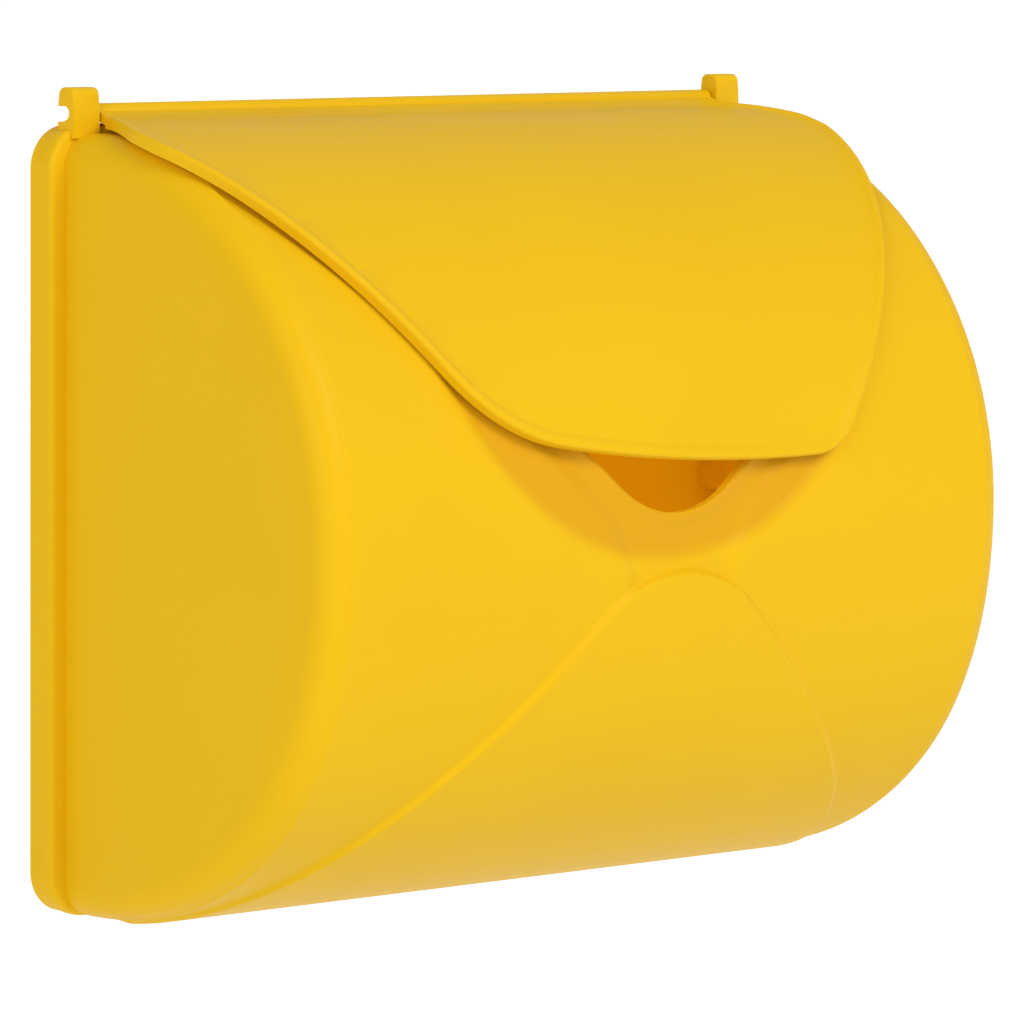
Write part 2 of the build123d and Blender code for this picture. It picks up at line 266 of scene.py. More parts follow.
def clear_selection():
    """Nothing is selected, so that an operator acts only on what is picked next."""
    if bpy.context.object and bpy.context.object.mode != "OBJECT":
        bpy.ops.object.mode_set(mode="OBJECT")
    bpy.ops.object.select_all(action="DESELECT")


def pick(piece):
    """One object, selected and active."""
    clear_selection()
    piece.select_set(True)
    bpy.context.view_layer.objects.active = piece
    return piece


def named(name):
    """The object that the last operator added, with its name."""
    piece = bpy.context.object
    piece.name = name
    piece.data.name = name
    return piece


def settle(piece):
    """The object's place and size go into its mesh."""
    pick(piece)
    bpy.ops.object.transform_apply(location=True, rotation=True, scale=True)
    return piece


def block(name, low, high):
    """A block between two corners."""
    clear_selection()
    low, high = Vector(low), Vector(high)
    bpy.ops.mesh.primitive_cube_add(size=1, location=(low + high) / 2)
    piece = named(name)
    piece.scale = high - low
    return settle(piece)


def rod(name, radius, start, end, sides=32):
    """A round rod from one point to another, along X or Y."""
    clear_selection()
    start, end = Vector(start), Vector(end)
    along_x = abs(end.x - start.x) > abs(end.y - start.y)
    turn = (0, math.pi / 2, 0) if along_x else (math.pi / 2, 0, 0)
    bpy.ops.mesh.primitive_cylinder_add(vertices=sides, radius=radius, depth=(end - start).length,
                                        location=(start + end) / 2, rotation=turn)
    return settle(named(name))


def flat_face(name, corners):
    """A flat face whose corners are the given points."""
    clear_selection()
    bpy.ops.mesh.primitive_circle_add(vertices=len(corners), radius=1, fill_type="NGON")
    piece = named(name)
    for vertex, corner in zip(piece.data.vertices, corners):
        vertex.co = corner
    return piece


def whole_mesh(piece, *tools):
    """Mesh tools are used one after another on the whole mesh, in edit mode."""
    pick(piece)
    bpy.ops.object.mode_set(mode="EDIT")
    for tool in tools:
        bpy.ops.mesh.select_all(action="SELECT")
        tool()
    bpy.ops.object.mode_set(mode="OBJECT")


def merge_points(distance):
    """The mesh tool that merges points closer together than a distance."""
    return partial(bpy.ops.mesh.remove_doubles, threshold=distance)


def prism(name, corners, along):
    """A flat outline drawn out along a vector into a closed block."""
    piece = flat_face(name, corners)
    draw_out = partial(bpy.ops.mesh.extrude_region_move, TRANSFORM_OT_translate={"value": along})
    whole_mesh(piece, draw_out, FACE_OUTWARDS)
    return piece


def start_picking(piece, kind):
    """Edit mode with nothing selected, ready for edges or faces to be picked."""
    pick(piece)
    bpy.ops.object.mode_set(mode="EDIT")
    bpy.ops.mesh.select_mode(type=kind)
    bpy.ops.mesh.select_all(action="DESELECT")


def round_edges(piece, wanted, radius, steps):
    """Edges whose two ends pass the test are rounded."""
    start_picking(piece, "EDGE")
    mesh = bmesh.from_edit_mesh(piece.data)
    for edge in mesh.edges:
        edge.select = wanted(edge.verts[0].co, edge.verts[1].co)
    mesh.select_flush_mode()
    bmesh.update_edit_mesh(piece.data)
    bpy.ops.mesh.bevel(offset=radius, offset_type="OFFSET", segments=steps, profile=0.5,
                       affect="EDGES", clamp_overlap=True)
    bpy.ops.object.mode_set(mode="OBJECT")


def runs_back(a, b):
    """The test for edges that run from front to back."""
    return abs(a.y - b.y) > MM


def in_front_of(y):
    """The test for edges that lie in front of a depth."""
    return lambda a, b: max(a.y, b.y) < y


def finish_modifier(piece, kind, **values):
    """A modifier is added, set and applied."""
    pick(piece)
    modifier = piece.modifiers.new(kind.title(), kind)
    for name, value in values.items():
        setattr(modifier, name, value)
    bpy.ops.object.modifier_apply(modifier=modifier.name)


def combine(piece, other, how):
    """A union with another piece or a cut by it, which is then gone."""
    finish_modifier(piece, "BOOLEAN", operation=how, object=other, solver="MANIFOLD")
    bpy.data.objects.remove(other)
    return piece


def join(pieces):
    """Several objects become one, with their meshes as they are."""
    pick(pieces[0])
    for piece in pieces[1:]:
        piece.select_set(True)
    bpy.ops.object.join()
    return pieces[0]


def smooth_faces(piece):
    """Faces are shaded smooth, except across sharp edges."""
    pick(piece)
    bpy.ops.object.shade_smooth_by_angle(angle=SHARP_ANGLE)


def points_of(piece):
    """The mesh's points as an array."""
    points = np.empty(len(piece.data.vertices) * 3)
    piece.data.vertices.foreach_get("co", points)
    return points.reshape(-1, 3)


def move_points(piece, points):
    """The mesh's points take new places."""
    piece.data.vertices.foreach_set("co", np.asarray(points, dtype=np.float32).ravel())
    piece.data.update()


def turn_faces(piece):
    """Every face is turned to the other side."""
    whole_mesh(piece, bpy.ops.mesh.flip_normals)


def copy_of(piece, name, move=(0, 0, 0), factor=(1, 1, 1)):
    """A copy with its own mesh, moved or mirrored, with its place in the mesh."""
    pick(piece)
    bpy.ops.object.duplicate()
    twin = named(name)
    twin.location = move
    twin.scale = factor
    settle(twin)
    if factor[0] < 0:
        whole_mesh(twin, FACE_OUTWARDS)
    return twin


def triangulate(piece):
    """Every face is divided into triangles, so that bent faces have one shape."""
    whole_mesh(piece, partial(bpy.ops.mesh.quads_convert_to_tris, quad_method="BEAUTY",
                              ngon_method="BEAUTY"))


def soft_step(value):
    """0 below 0, 1 above 1, and a smooth rise between."""
    value = np.clip(value, 0, 1)
    return value * value * (3 - 2 * value)


def inside(distance, edge):
    """0 outside an outline and 1 inside it, with a soft step as wide as the edge."""
    return soft_step(distance / edge + 0.5)


def arc(centre, radius, start, end, steps):
    """Points along a circular arc between two angles."""
    angles = np.linspace(start, end, steps + 1)
    return [(centre[0] + radius * math.cos(a), centre[1] + radius * math.sin(a)) for a in angles]


def rounded_corner(before, corner, after, radius, steps=10):
    """Points along the arc that rounds one corner of an outline."""
    before, corner, after = Vector(before), Vector(corner), Vector(after)
    one = (before - corner).normalized()
    two = (after - corner).normalized()
    half = one.angle(two) / 2
    centre = corner + (one + two).normalized() * (radius / math.sin(half))
    first = corner + one * (radius / math.tan(half)) - centre
    last = corner + two * (radius / math.tan(half)) - centre
    turn = math.atan2(first.x * last.y - first.y * last.x, first.dot(last))
    start = math.atan2(first.y, first.x)
    return arc(centre, radius, start, start + turn, steps)


# The half-round outline

class HalfRound:
    """The wall's outline in the plane X = 0, from the plate's top round the front to its bottom."""

    def __init__(self, body):
        rim_half = (PLATE_HIGH.z - PLATE_LOW.z) / 2 + body.plate_clearance + body.rim_lip
        self.top = rim_half - body.rim_top
        self.bottom = -rim_half + body.rim_bottom
        self.centre = (-body.plate_thickness, body.crown_height)
        front = -body.depth
        reach = body.depth - body.crown_start
        start = -body.crown_start
        crown = (front, body.crown_height)
        over = body.top_fullness
        under = body.bottom_fullness
        rise = body.crown_height + over * (self.top - body.crown_height)
        fall = body.crown_height - under * (body.crown_height - self.bottom)
        upper = self.curve((start, self.top), (start - over * reach, self.top),
                           (front, rise), crown)
        lower = self.curve(crown, (front, fall), (start - under * reach, self.bottom),
                           (start, self.bottom))
        back = -body.plate_thickness
        points = np.vstack([[(back, self.top)], upper, lower[1:], [(back, self.bottom)]])
        steps = np.diff(points, axis=0)
        self.y, self.z = points.T
        self.length = np.concatenate([[0], np.cumsum(np.hypot(*steps.T))])
        along = np.gradient(points, self.length, axis=0)
        along /= np.linalg.norm(along, axis=1)[:, None]
        self.out_y, self.out_z = along[:, 1], -along[:, 0]
        self.total = self.length[-1]

    @staticmethod
    def curve(a, b, c, d, steps=400):
        """Points along a cubic curve."""
        t = np.linspace(0, 1, steps + 1)[:, None]
        return ((1 - t) ** 3 * np.array(a) + 3 * (1 - t) ** 2 * t * np.array(b)
                + 3 * (1 - t) * t ** 2 * np.array(c) + t ** 3 * np.array(d))

    def place(self, s, rise):
        """Depth and height of points at a length along the outline, lifted off it by rise."""
        y = np.interp(s, self.length, self.y) + rise * np.interp(s, self.length, self.out_y)
        z = np.interp(s, self.length, self.z) + rise * np.interp(s, self.length, self.out_z)
        return y, z

    def length_at_height(self, height, rise):
        """How far along the outline a point of the front half lies, from its height."""
        z = self.z + rise * self.out_z
        return np.interp(-np.asarray(height), -z, self.length)

    def length_at_depth(self, depth, rise):
        """How far along the outline a point of the upper half lies, from its depth."""
        upper = self.length <= self.length[np.argmin(self.y)]
        y = (self.y + rise * self.out_y)[upper]
        return np.interp(np.asarray(depth), -y, self.length[upper])


# The envelope in relief

def wedge_distance(x, z, tip, radius, angle):
    """Distance outside a wedge that opens upwards from a rounded tip, less than 0 inside it."""
    middle = tip + radius
    foot_x = radius * math.sin(angle)
    foot_z = middle - radius * math.cos(angle)
    side = (np.abs(x) - foot_x) * math.sin(angle) - (z - foot_z) * math.cos(angle)
    round_part = np.hypot(x, z - middle) - radius
    under = np.abs(x) * math.cos(angle) < (middle - z) * math.sin(angle)
    return np.where(under, round_part, side)


def slot_distance(x, z, relief, half_top):
    """Distance outside the mail opening's outline in the front view, less than 0 inside it."""
    lower = wedge_distance(x, z, relief.slot_bottom, relief.slot_radius, relief.slot_slope)
    return np.maximum(np.maximum(lower, z - relief.slot_top), np.abs(x) - half_top)


def flap_distance(x, z, relief):
    """Distance inside the bottom flap's outline in the front view."""
    return -wedge_distance(x, -z, -relief.apex_height, relief.apex_radius, relief.flap_slope)


def valley_distance(x, z, relief):
    """Distance inside the sunken floor's outline in the front view."""
    foot, neck = relief.valley_foot, relief.valley_neck
    foot_z, neck_z = relief.apex_height, relief.valley_neck_height
    below = foot - np.abs(x)
    lean = (neck - foot) / (neck_z - foot_z)
    between = (foot + (z - foot_z) * lean - np.abs(x)) / math.hypot(1, lean)
    lean = 1 / math.tan(relief.slot_slope)
    above = (neck + (z - neck_z) * lean - np.abs(x)) / math.hypot(1, lean)
    return np.maximum(np.maximum(below, between), above)


def in_dish(x, z, relief):
    """1 inside the wide shallow dish round the mail opening, 0 outside it, with a soft edge."""
    middle = relief.dish_bottom + relief.dish_radius
    outside = np.hypot(x - relief.dish_shift, z - middle) - relief.dish_radius
    return inside(-outside, relief.dish_edge) * inside(relief.slot_top - z, relief.dish_edge)


def relief_height(x, y, z, body, relief, outline):
    """Height of the moulding above the plain wall."""
    half = body.width / 2 - relief.flap_margin
    flap_top = outline.top - relief.flap_top_margin
    side = inside(half - np.abs(x), relief.side_flap_edge)
    height = relief.side_flap_rise * (side * inside(flap_top - z, relief.valley_edge))
    valley = inside(valley_distance(x, z, relief), relief.valley_edge)
    valley = valley * inside(relief.slot_top - z, relief.valley_edge) * side
    height = height + (-relief.valley_fall - height) * valley
    height = height - relief.dish_fall * in_dish(x, z, relief) * side
    slot = slot_distance(x, z, relief, body.width / 2 - relief.slot_top_margin)
    lip = soft_step((relief.slot_lip - slot) / relief.slot_lip + LIP_START)
    height = height + relief.slot_lip_rise * lip
    inward = np.clip(1 - slot / relief.slot_edge, 0, 1)
    height = height - relief.slot_edge * LIP_DROP * (1 - np.sqrt(1 - inward ** 2))
    flap = inside(flap_distance(x, z, relief), relief.bottom_flap_edge) * side
    flap_end = inside(-relief.bottom_flap_end - y, relief.valley_edge)
    flap = flap * np.where(z > 0, 1, flap_end)
    return height + (relief.bottom_flap_rise - height) * flap


def near_relief_edge(x, z, body, relief, reach):
    """Which points lie close to an edge of the relief."""
    half = body.width / 2 - relief.flap_margin
    slot = np.abs(slot_distance(x, z, relief, body.width / 2 - relief.slot_top_margin))
    flap = np.abs(flap_distance(x, z, relief))
    valley = np.abs(valley_distance(x, z, relief))
    near = (slot < reach * SLOT_REACH) | (flap < reach)
    near = near | ((valley < reach * VALLEY_REACH) & (z < relief.slot_top))
    return (near & (np.abs(x) < half)) | (np.abs(np.abs(x) - half) < reach * END_REACH)


# The shell

def shell_stations(body, spacing):
    """Columns across the shell: place, turn into the end and share of the way to its middle."""
    half = body.width / 2 - body.end_radius
    straight = int(round(2 * half / spacing))
    steps = [(-half + 2 * half * i / straight, 0.0, 0.0) for i in range(straight + 1)]
    turns = [math.pi / 2 * i / END_TURNS for i in range(1, END_TURNS + 1)]
    right = [(half, t, 0.0) for t in turns] + [(half, math.pi / 2, k) for k in END_SHARES]
    left = [(-x, t, k) for x, t, k in reversed(right)]
    return np.array(left + steps + right)


def place_on_shell(column, row, stations, rows, outline, body, relief, inward):
    """Points of the shell's outer face, or of its inner one if inward is the wall's thickness."""
    index = np.arange(len(stations))
    x0 = np.interp(column, index, stations[:, 0])
    turn = np.interp(column, index, stations[:, 1])
    shrink = np.interp(column, index, stations[:, 2])
    s = np.interp(row, [0, rows - 1], [0, outline.total])
    flat_y, flat_z = outline.place(s, 0.0)
    side = np.sign(x0)
    across = x0 + side * body.end_radius * np.sin(turn)
    height = relief_height(across, flat_y, flat_z, body, relief, outline) - inward
    offset = height * np.cos(turn) - body.end_radius * (1 - np.cos(turn))
    x = x0 + side * (body.end_radius + height) * np.sin(turn)
    y, z = outline.place(s, offset)
    y = y + (outline.centre[0] - y) * shrink
    z = z + (outline.centre[1] - z) * shrink
    return np.column_stack([x, y, z])


def shell_face(name, outline, body, relief, spacing, refine, inward):
    """One face of the shell: a grid, finer along the relief's edges, laid round the outline."""
    stations = shell_stations(body, spacing)
    columns = len(stations)
    rows = int(round(outline.total / spacing)) + 1
    clear_selection()
    bpy.ops.mesh.primitive_grid_add(x_subdivisions=columns - 1, y_subdivisions=rows - 1, size=2)
    piece = named(name)

    def grid_place(points):
        return (points[:, 0] + 1) / 2 * (columns - 1), (points[:, 1] + 1) / 2 * (rows - 1)

    for reach in refine:
        start_picking(piece, "FACE")
        mesh = bmesh.from_edit_mesh(piece.data)
        column, row = grid_place(np.array([face.calc_center_median() for face in mesh.faces]))
        place = place_on_shell(column, row, stations, rows, outline, body, relief, 0.0)
        chosen = near_relief_edge(place[:, 0], place[:, 2], body, relief, reach)
        chosen &= np.interp(column, np.arange(columns), stations[:, 1]) < FINE_TURN
        for face, is_chosen in zip(mesh.faces, chosen):
            face.select_set(bool(is_chosen))
        bmesh.update_edit_mesh(piece.data)
        bpy.ops.mesh.subdivide(number_cuts=1)
        bpy.ops.object.mode_set(mode="OBJECT")

    column, row = grid_place(points_of(piece))
    move_points(piece, place_on_shell(column, row, stations, rows, outline, body, relief, inward))
    whole_mesh(piece, merge_points(SHELL_MERGE))
    front = min(piece.data.polygons, key=lambda face: face.center.y)
    if (front.normal.y > 0) != (inward > 0):
        turn_faces(piece)
    return piece


def mark(piece, name, values):
    """Every point of the mesh gets a value that the material reads."""
    made = piece.data.attributes.new(name, "FLOAT", "POINT")
    made.data.foreach_set("value", np.asarray(values, dtype=np.float32))


def slot_corners(body, relief):
    """Outline of the mail opening in the front view."""
    angle = relief.slot_slope
    middle = relief.slot_bottom + relief.slot_radius
    foot = (relief.slot_radius * math.sin(angle), middle - relief.slot_radius * math.cos(angle))
    half = body.width / 2 - relief.slot_top_margin
    knee = (half, foot[1] + (half - foot[0]) * math.tan(angle))
    corner = (half, relief.slot_top)
    bottom = arc((0, middle), relief.slot_radius, -math.pi / 2, -math.pi / 2 + angle, 16)
    top = rounded_corner(knee, corner, (0, relief.slot_top), relief.slot_corner, 6)
    right = bottom + [knee] + top
    left = [(-x, z) for x, z in reversed(right[1:])]
    return right + left


def make_rim(body, outline):
    """The rim: round corners, a parting step, a soft front edge and the plate's seat."""
    half = SHELL_HIGH.x
    rim_half = outline.top + body.rim_top
    step = body.rim_parting_step
    parting = body.rim_parting_depth
    rim = block("rim", (-half, -body.rim_depth, -rim_half), (half, -parting, rim_half))
    round_edges(rim, runs_back, body.rim_corner, CORNER_STEPS)
    round_edges(rim, in_front_of(-body.rim_depth + HAIR), body.rim_front_radius, 4)
    round_edges(rim, lambda a, b: min(a.y, b.y) > -parting - HAIR, step, 1)
    rear = block("rear", (-half + step, -parting - MM, -rim_half + step),
                 (half - step, 0, rim_half - step))
    round_edges(rear, runs_back, body.rim_corner - step, CORNER_STEPS)
    combine(rim, rear, "UNION")
    in_wall = body.wall / 2
    hole = block("hole", (-body.width / 2 + in_wall, -body.depth, outline.bottom + in_wall),
                 (body.width / 2 - in_wall, body.depth, outline.top - in_wall))
    round_edges(hole, runs_back, body.end_radius - in_wall, CORNER_STEPS)
    combine(rim, hole, "DIFFERENCE")
    lip = body.rim_lip
    seat = block("seat", (-half + lip, -body.plate_thickness, -rim_half + lip),
                 (half - lip, body.depth, rim_half - lip))
    round_edges(seat, runs_back, body.rim_corner - lip, CORNER_STEPS)
    return combine(rim, seat, "DIFFERENCE")


def make_hook(body, lid, outline):
    """The right hinge hook: a block rounded over its top, open towards the wall round the pin."""
    high = body.width / 2 - lid.hook_inset
    low = high - lid.hook_width
    front, back = HINGE.y - lid.hook_front, HINGE.y + lid.hook_back
    rim_top = outline.top + body.rim_top
    hook = block("hook", (low, front, outline.top - body.wall / 2), (high, back, SHELL_HIGH.z))

    def over_top(a, b):
        return min(a.z, b.z) > SHELL_HIGH.z - HAIR and abs(a.x - b.x) > MM

    def on_cheek(a, b):
        return min(a.z, b.z) > rim_top and abs(a.x - b.x) < HAIR

    round_edges(hook, over_top, lid.hook_rounding, 6)
    round_edges(hook, on_cheek, HOOK_EDGE, 4)
    hole = rod("hole", lid.hook_hole_radius, (low - MM, HINGE.y, HINGE.z),
               (high + MM, HINGE.y, HINGE.z), 40)
    combine(hook, hole, "DIFFERENCE")
    mouth = block("mouth", (low - MM, HINGE.y, rim_top + lid.hook_lower_lip),
                  (high + MM, back + MM, HINGE.z + lid.hook_hole_radius))
    return combine(hook, mouth, "DIFFERENCE")


def screw_places():
    """Where the axes of the plate screws cross the plane of the wall."""
    boxes = [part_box(name) for name in SCREWS]
    return [((low.x + high.x) / 2, 0, (low.z + high.z) / 2) for low, high in boxes]


def join_at_rims(pieces):
    """Open pieces become one, with a band of faces between their open edges."""
    piece = join(pieces)
    start_picking(piece, "EDGE")
    bpy.ops.mesh.select_non_manifold(extend=False, use_wire=False, use_boundary=True,
                                     use_multi_face=False, use_non_contiguous=False,
                                     use_verts=False)
    bpy.ops.mesh.bridge_edge_loops()
    bpy.ops.object.mode_set(mode="OBJECT")
    return piece


def make_shell(body, relief, lid):
    """The moulded shell: half-round wall, relief, mail opening, rim, hooks and screw bosses."""
    outline = HalfRound(body)
    outer = shell_face("box_shell_moulding", outline, body, relief, OUTER_GRID, OUTER_REFINE, 0.0)
    inner = shell_face("inner", outline, body, relief, INNER_GRID, INNER_REFINE, body.wall)
    mark(inner, "inside", np.ones(len(inner.data.vertices)))
    # The dish mark is painted shade: 1 over the dish below the lid, away from the bottom flap,
    # where the material darkens the plastic
    x, y, z = points_of(outer).T
    dish = in_dish(x, z, relief) * (y < -body.depth / 3)
    mark(outer, "dish", dish * (1 - inside(flap_distance(x, z, relief), relief.bottom_flap_edge)))
    shell = join_at_rims([outer, inner])
    triangulate(shell)
    slot = [(x, SLOT_REAR, z) for x, z in slot_corners(body, relief)]
    combine(shell, prism("slot", slot, (0, -body.depth, 0)), "DIFFERENCE")
    combine(shell, make_rim(body, outline), "UNION")
    hook = make_hook(body, lid, outline)
    combine(shell, copy_of(hook, "left_hook", factor=(-1, 1, 1)), "UNION")
    combine(shell, hook, "UNION")
    seat = -body.plate_thickness
    tip = seat - body.boss_depth
    boss = rod("boss", body.boss_radius, (0, seat, 0), (0, tip, 0))
    round_edges(boss, in_front_of(tip + HAIR), BOSS_EDGE, 3)
    screw_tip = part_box(SCREWS[0])[0].y
    pilot = rod("pilot", body.pilot_radius, (0, 0, 0), (0, screw_tip, 0), 20)
    for place in screw_places():
        combine(shell, copy_of(boss, "one_boss", place), "UNION")
        combine(shell, copy_of(pilot, "one_pilot", place), "DIFFERENCE")
    bpy.data.objects.remove(boss)
    bpy.data.objects.remove(pilot)
    smooth_faces(shell)
    return shell


# The lid

def lid_front_path(body, lid):
    """The lid's side and lower edges in the front view, from the right shoulder to the left one."""
    half = body.width / 2 - lid.side_margin
    lean = (half - lid.foot) / (lid.shoulder_height - lid.edge_right)
    right = Vector((lid.foot, lid.edge_right))
    left = Vector((-lid.foot - lean * (lid.edge_left - lid.edge_right), lid.edge_left))
    across, down = right - left, Vector((0, lid.edge_middle)) - left
    cross = 2 * (across.x * down.y - across.y * down.x)
    wide, deep = across.length_squared, down.length_squared
    centre = left + Vector((wide * -down.y + deep * across.y,
                            deep * -across.x + wide * down.x)) / -cross
    sweep = (right - centre).length

    def rounding(corner, side, radius):
        """Middle of a corner's arc, and where it meets the side edge and the lower edge."""
        along = Vector((side * lean, 1)).normalized()
        inward = Vector((-side * along.y, side * along.x))
        start = corner + inward * radius
        offset = start - centre
        b = offset.dot(along)
        middle = start + along * (-b - math.sqrt(b * b - offset.length_squared
                                                 + (sweep - radius) ** 2))
        return middle, middle - inward * radius, centre + (middle - centre).normalized() * sweep

    def turn(middle, radius, first, last):
        a = math.atan2(*(first - middle).yx)
        b = math.atan2(*(last - middle).yx)
        b = a + (b - a + math.pi) % (2 * math.pi) - math.pi
        return arc(middle, radius, a, b, 20)

    right_middle, right_side, right_low = rounding(right, 1, lid.right_radius)
    left_middle, left_side, left_low = rounding(left, -1, lid.left_radius)
    path = [(half, lid.shoulder_height)]
    path += turn(right_middle, lid.right_radius, right_side, right_low)
    path += turn(centre, sweep, right_low, left_low)[1:-1]
    path += turn(left_middle, lid.left_radius, left_low, left_side)
    return path + [(-half, lid.shoulder_height)]


def spread(path, spacing):
    """Points along a path, evenly close together, with its corners kept."""
    points = [Vector(path[0])]
    for end in path[1:]:
        start, end = points[-1].copy(), Vector(end)
        steps = max(1, int(math.ceil((end - start).length / spacing)))
        points += [start.lerp(end, i / steps) for i in range(1, steps + 1)]
    return points


def barrel_half(body, lid):
    """Half the length of the hinge barrel, which fits between the hooks."""
    return body.width / 2 - lid.hook_inset - lid.hook_width - lid.barrel_play


def lid_blank_path(body, lid, outline):
    """The lid's edge laid flat, as place across and length round, rear right to rear left."""
    rise = lid.gap + lid.wall / 2
    rear = (barrel_half(body, lid), lid.rear)
    half = body.width / 2 - lid.side_margin
    waist = rounded_corner(rear, (half, lid.shoulder_depth), (half, 2 * lid.shoulder_depth),
                           lid.shoulder_radius)
    plan = spread([rear] + waist, SHOULDER_SPACING)
    right = [(p.x, float(outline.length_at_depth(p.y, rise))) for p in plan]
    front = spread(lid_front_path(body, lid), EDGE_SPACING)
    edge = [(p.x, float(outline.length_at_height(p.y, rise))) for p in front]
    left = [(-x, s) for x, s in reversed(right)]
    return right + edge + left


def lay_round(piece, outline):
    """A piece modelled flat, as place across, length and height, is laid round the outline."""
    points = points_of(piece)
    y, z = outline.place(points[:, 1], points[:, 2])
    move_points(piece, np.column_stack([points[:, 0], y, z]))
    turn_faces(piece)


def cut_into_strips(piece, axis, places):
    """The mesh is divided by parallel planes, so that it can bend."""
    normal = [1.0 if i == axis else 0.0 for i in range(3)]
    whole_mesh(piece, *(partial(bpy.ops.mesh.bisect, plane_co=[place * n for n in normal],
                                plane_no=normal) for place in places))


def bead_profile(lid):
    """Section of the bead, a closed curve: round outside, running out into the sheet."""
    half, tall, run_out = lid.bead_width / 2, lid.wall + lid.bead_rise, lid.bead_run_out
    low = lid.wall - BEAD_SINK
    outer = rounded_corner((-half, 0), (-half, tall), (half, tall), lid.bead_radius, 6)
    slope = [(x, low + (tall - low) * float(soft_step((run_out - x) / run_out)))
             for x in np.linspace(BEAD_CREST, run_out, 7)]
    section = [(-half, 0), (-half, BEAD_FOOT)] + outer + slope + [(run_out, 0)]
    return [(-x, z) for x, z in section]


def curve_object(name, points, closed):
    """A curve through straight spans."""
    curve = bpy.data.curves.new(name, "CURVE")
    curve.dimensions = "2D"
    spline = curve.splines.new("POLY")
    spline.points.add(len(points) - 1)
    for point, place in zip(spline.points, points):
        point.co = (place[0], place[1], 0, 1)
    spline.use_cyclic_u = closed
    piece = bpy.data.objects.new(name, curve)
    bpy.context.scene.collection.objects.link(piece)
    return piece


def moved_in(path, distance):
    """The lid's edge moved in by a distance."""
    points = np.array(path)
    along = np.gradient(points, axis=0)
    along[0], along[-1] = (0, 1), (0, -1)
    along /= np.linalg.norm(along, axis=1)[:, None]
    return points + np.column_stack([-along[:, 1], along[:, 0]]) * distance


def make_bead(lid, path):
    """The bead, laid flat: its section drawn along the lid's edge."""
    bead = curve_object("bead", moved_in(path, lid.bead_width / 2), False)
    profile = curve_object("bead_profile", bead_profile(lid), True)
    bead.data.bevel_mode = "OBJECT"
    bead.data.bevel_object = profile
    bead.data.use_fill_caps = True
    pick(bead)
    bpy.ops.object.convert(target="MESH")
    bead = named("bead")
    bpy.data.objects.remove(profile)
    whole_mesh(bead, merge_points(MERGE), FACE_OUTWARDS)
    points = points_of(bead)
    points[:, 2] += lid.gap - points[:, 2].min() - BEAD_BELOW
    move_points(bead, points)
    return bead


def hinge_rod(name, radius, half, sides, rounding):
    """A rod on the hinge's axis, with its ends rounded."""
    piece = rod(name, radius, (-half, HINGE.y, HINGE.z), (half, HINGE.y, HINGE.z), sides)

    def at_end(a, b):
        return abs(abs(a.x) - half) < HAIR and abs(a.x - b.x) < HAIR

    round_edges(piece, at_end, rounding, 2)
    return piece


def make_lid(body, lid):
    """The lid: a curved sheet with a bead round it, and a barrel with a stub pin at each end."""
    outline = HalfRound(body)
    path = lid_blank_path(body, lid, outline)
    sheet = moved_in(path, lid.bead_width / 2)
    piece = prism("lid_moulding", [(x, s, lid.gap) for x, s in sheet], (0, 0, lid.wall))
    ends = [s for _, s in sheet]
    cut_into_strips(piece, 1, np.arange(min(ends) + LID_STRIP, max(ends), LID_STRIP))
    half = body.width / 2
    cut_into_strips(piece, 0, np.arange(-half + LID_COLUMN, half, LID_COLUMN))
    combine(piece, make_bead(lid, path), "UNION")
    mark(piece, "inside", lid.glow * (points_of(piece)[:, 2] < lid.gap + UNDERSIDE))
    lay_round(piece, outline)

    narrow = barrel_half(body, lid)
    start = Vector((HINGE.y, HINGE.z))
    end = Vector((-lid.rear - lid.wall, outline.top + lid.gap + lid.wall / 2))
    along = (end - start).normalized()
    across = Vector((-along.y, along.x)) * lid.wall / 2
    web = [start + across, end + across, end + along * MM, end - across, start - across]
    web = prism("web", [(-narrow, p.x, p.y) for p in web], (2 * narrow, 0, 0))
    barrel = hinge_rod("barrel", lid.barrel_radius, narrow, 40, BARREL_EDGE)
    pin_end = narrow + lid.barrel_play + lid.pin_length
    combine(barrel, hinge_rod("pin", lid.pin_radius, pin_end, 28, PIN_EDGE), "UNION")
    combine(barrel, web, "UNION")
    combine(piece, barrel, "UNION")
    smooth_faces(piece)
    return piece


# The plate and its screws

def softened_copy(node, name, radius):
    """A copy of a CAD part, with its loose triangles merged and its sharp edges softened."""
    pick(frame["nodes"][node])
    bpy.ops.object.duplicate()
    piece = named(name)
    bpy.ops.object.parent_clear(type="CLEAR")
    for key in list(piece.keys()):
        del piece[key]
    piece.data.materials.clear()
    whole_mesh(piece, merge_points(MERGE),
               partial(bpy.ops.mesh.dissolve_limited, angle_limit=FLAT_ANGLE))
    finish_modifier(piece, "BEVEL", width=radius, segments=3, limit_method="ANGLE",
                    angle_limit=SOFTEN_ANGLE)
    smooth_faces(piece)
    finish_modifier(piece, "WEIGHTED_NORMAL", keep_sharp=True, mode="FACE_AREA")
    return piece


# Materials

def new_group(name, inputs, outputs):
    """An empty shader node group with named sockets."""
    group = bpy.data.node_groups.new(name, "ShaderNodeTree")
    for label, kind, value in inputs:
        socket = group.interface.new_socket(label, in_out="INPUT", socket_type=kind)
        socket.default_value = value
    for label, kind in outputs:
        group.interface.new_socket(label, in_out="OUTPUT", socket_type=kind)
    return group, group.nodes.new("NodeGroupInput"), group.nodes.new("NodeGroupOutput")


def set_inputs(tree, made, values):
    """A node's inputs are linked to outputs, or set to plain values."""
    for name, value in values.items():
        if isinstance(value, bpy.types.NodeSocket):
            tree.links.new(value, made.inputs[name])
        else:
            made.inputs[name].default_value = value


def node(tree, kind, inputs=None, **values):
    """A node with its settings, and its inputs linked or set."""
    made = tree.nodes.new(kind)
    for name, value in values.items():
        setattr(made, name, value)
    set_inputs(tree, made, inputs or {})
    return made


